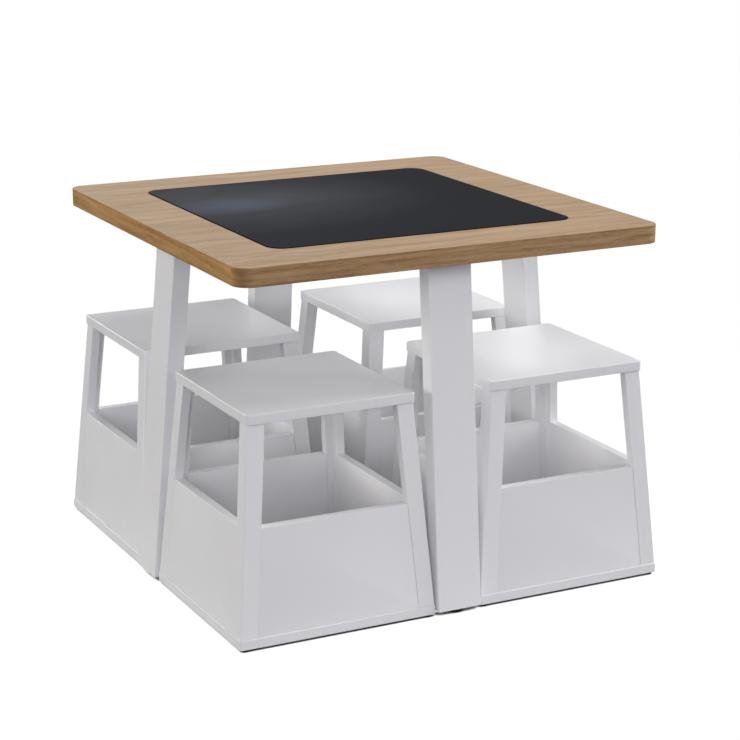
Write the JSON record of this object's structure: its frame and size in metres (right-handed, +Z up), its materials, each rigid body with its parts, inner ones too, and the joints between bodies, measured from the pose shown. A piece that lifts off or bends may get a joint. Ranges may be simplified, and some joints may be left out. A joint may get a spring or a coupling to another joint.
{
  "type": "kids activity table with stools",
  "caption": "Square children's activity table with a wooden top, inset chalkboard and splayed legs, with tapered white stools that hold toys and nest in its corners.",
  "frame": {"origin": "on the floor under the middle of the table", "axes": "+Z up; +Y from the table's front to its back, +X to its right. All four sides are alike; the wood grain runs along X"},
  "size_m": [0.728, 0.728, 0.564],
  "materials": {
    "oak": "light oak veneer, satin varnish, grain from side to side",
    "blackboard": "matt charcoal writing surface",
    "white_lacquer": "satin white lacquer",
    "black_plastic": "matt black moulded plastic",
    "zinc_steel": "bright zinc plate"
  },
  "bodies": {
    "table": {"table_top": "oak", "chalkboard": "blackboard", "front_leg": "white_lacquer", "front_leg_glide": "black_plastic", "front_leg_bracket": "zinc_steel", "right_leg": "white_lacquer", "right_leg_glide": "black_plastic", "right_leg_bracket": "zinc_steel", "back_leg": "white_lacquer", "back_leg_glide": "black_plastic", "back_leg_bracket": "zinc_steel", "left_leg": "white_lacquer", "left_leg_glide": "black_plastic", "left_leg_bracket": "zinc_steel"},
    "front_left_stool": {"front_left_stool_seat": "white_lacquer", "front_left_stool_base_plate": "white_lacquer", "front_left_stool_front_panel": "white_lacquer", "front_left_stool_right_panel": "white_lacquer", "front_left_stool_back_panel": "white_lacquer", "front_left_stool_left_panel": "white_lacquer", "front_left_stool_front_left_post": "white_lacquer", "front_left_stool_front_right_post": "white_lacquer", "front_left_stool_back_right_post": "white_lacquer", "front_left_stool_back_left_post": "white_lacquer"},
    "front_right_stool": {"front_right_stool_seat": "white_lacquer", "front_right_stool_base_plate": "white_lacquer", "front_right_stool_front_panel": "white_lacquer", "front_right_stool_right_panel": "white_lacquer", "front_right_stool_back_panel": "white_lacquer", "front_right_stool_left_panel": "white_lacquer", "front_right_stool_front_left_post": "white_lacquer", "front_right_stool_front_right_post": "white_lacquer", "front_right_stool_back_right_post": "white_lacquer", "front_right_stool_back_left_post": "white_lacquer"},
    "back_right_stool": {"back_right_stool_seat": "white_lacquer", "back_right_stool_base_plate": "white_lacquer", "back_right_stool_front_panel": "white_lacquer", "back_right_stool_right_panel": "white_lacquer", "back_right_stool_back_panel": "white_lacquer", "back_right_stool_left_panel": "white_lacquer", "back_right_stool_front_left_post": "white_lacquer", "back_right_stool_front_right_post": "white_lacquer", "back_right_stool_back_right_post": "white_lacquer", "back_right_stool_back_left_post": "white_lacquer"},
    "back_left_stool": {"back_left_stool_seat": "white_lacquer", "back_left_stool_base_plate": "white_lacquer", "back_left_stool_front_panel": "white_lacquer", "back_left_stool_right_panel": "white_lacquer", "back_left_stool_back_panel": "white_lacquer", "back_left_stool_left_panel": "white_lacquer", "back_left_stool_front_left_post": "white_lacquer", "back_left_stool_front_right_post": "white_lacquer", "back_left_stool_back_right_post": "white_lacquer", "back_left_stool_back_left_post": "white_lacquer"}
  },
  "joints": [
    {"name": "front_left_stool_slide", "type": "slide", "parent": "table", "child": "front_left_stool", "axis": [-0.7071, -0.7071, 0], "range_m": [0, 0.4]},
    {"name": "front_right_stool_slide", "type": "slide", "parent": "table", "child": "front_right_stool", "axis": [0.7071, -0.7071, 0], "range_m": [0, 0.4]},
    {"name": "back_right_stool_slide", "type": "slide", "parent": "table", "child": "back_right_stool", "axis": [0.7071, 0.7071, 0], "range_m": [0, 0.4]},
    {"name": "back_left_stool_slide", "type": "slide", "parent": "table", "child": "back_left_stool", "axis": [-0.7071, 0.7071, 0], "range_m": [0, 0.4]}
  ]
}
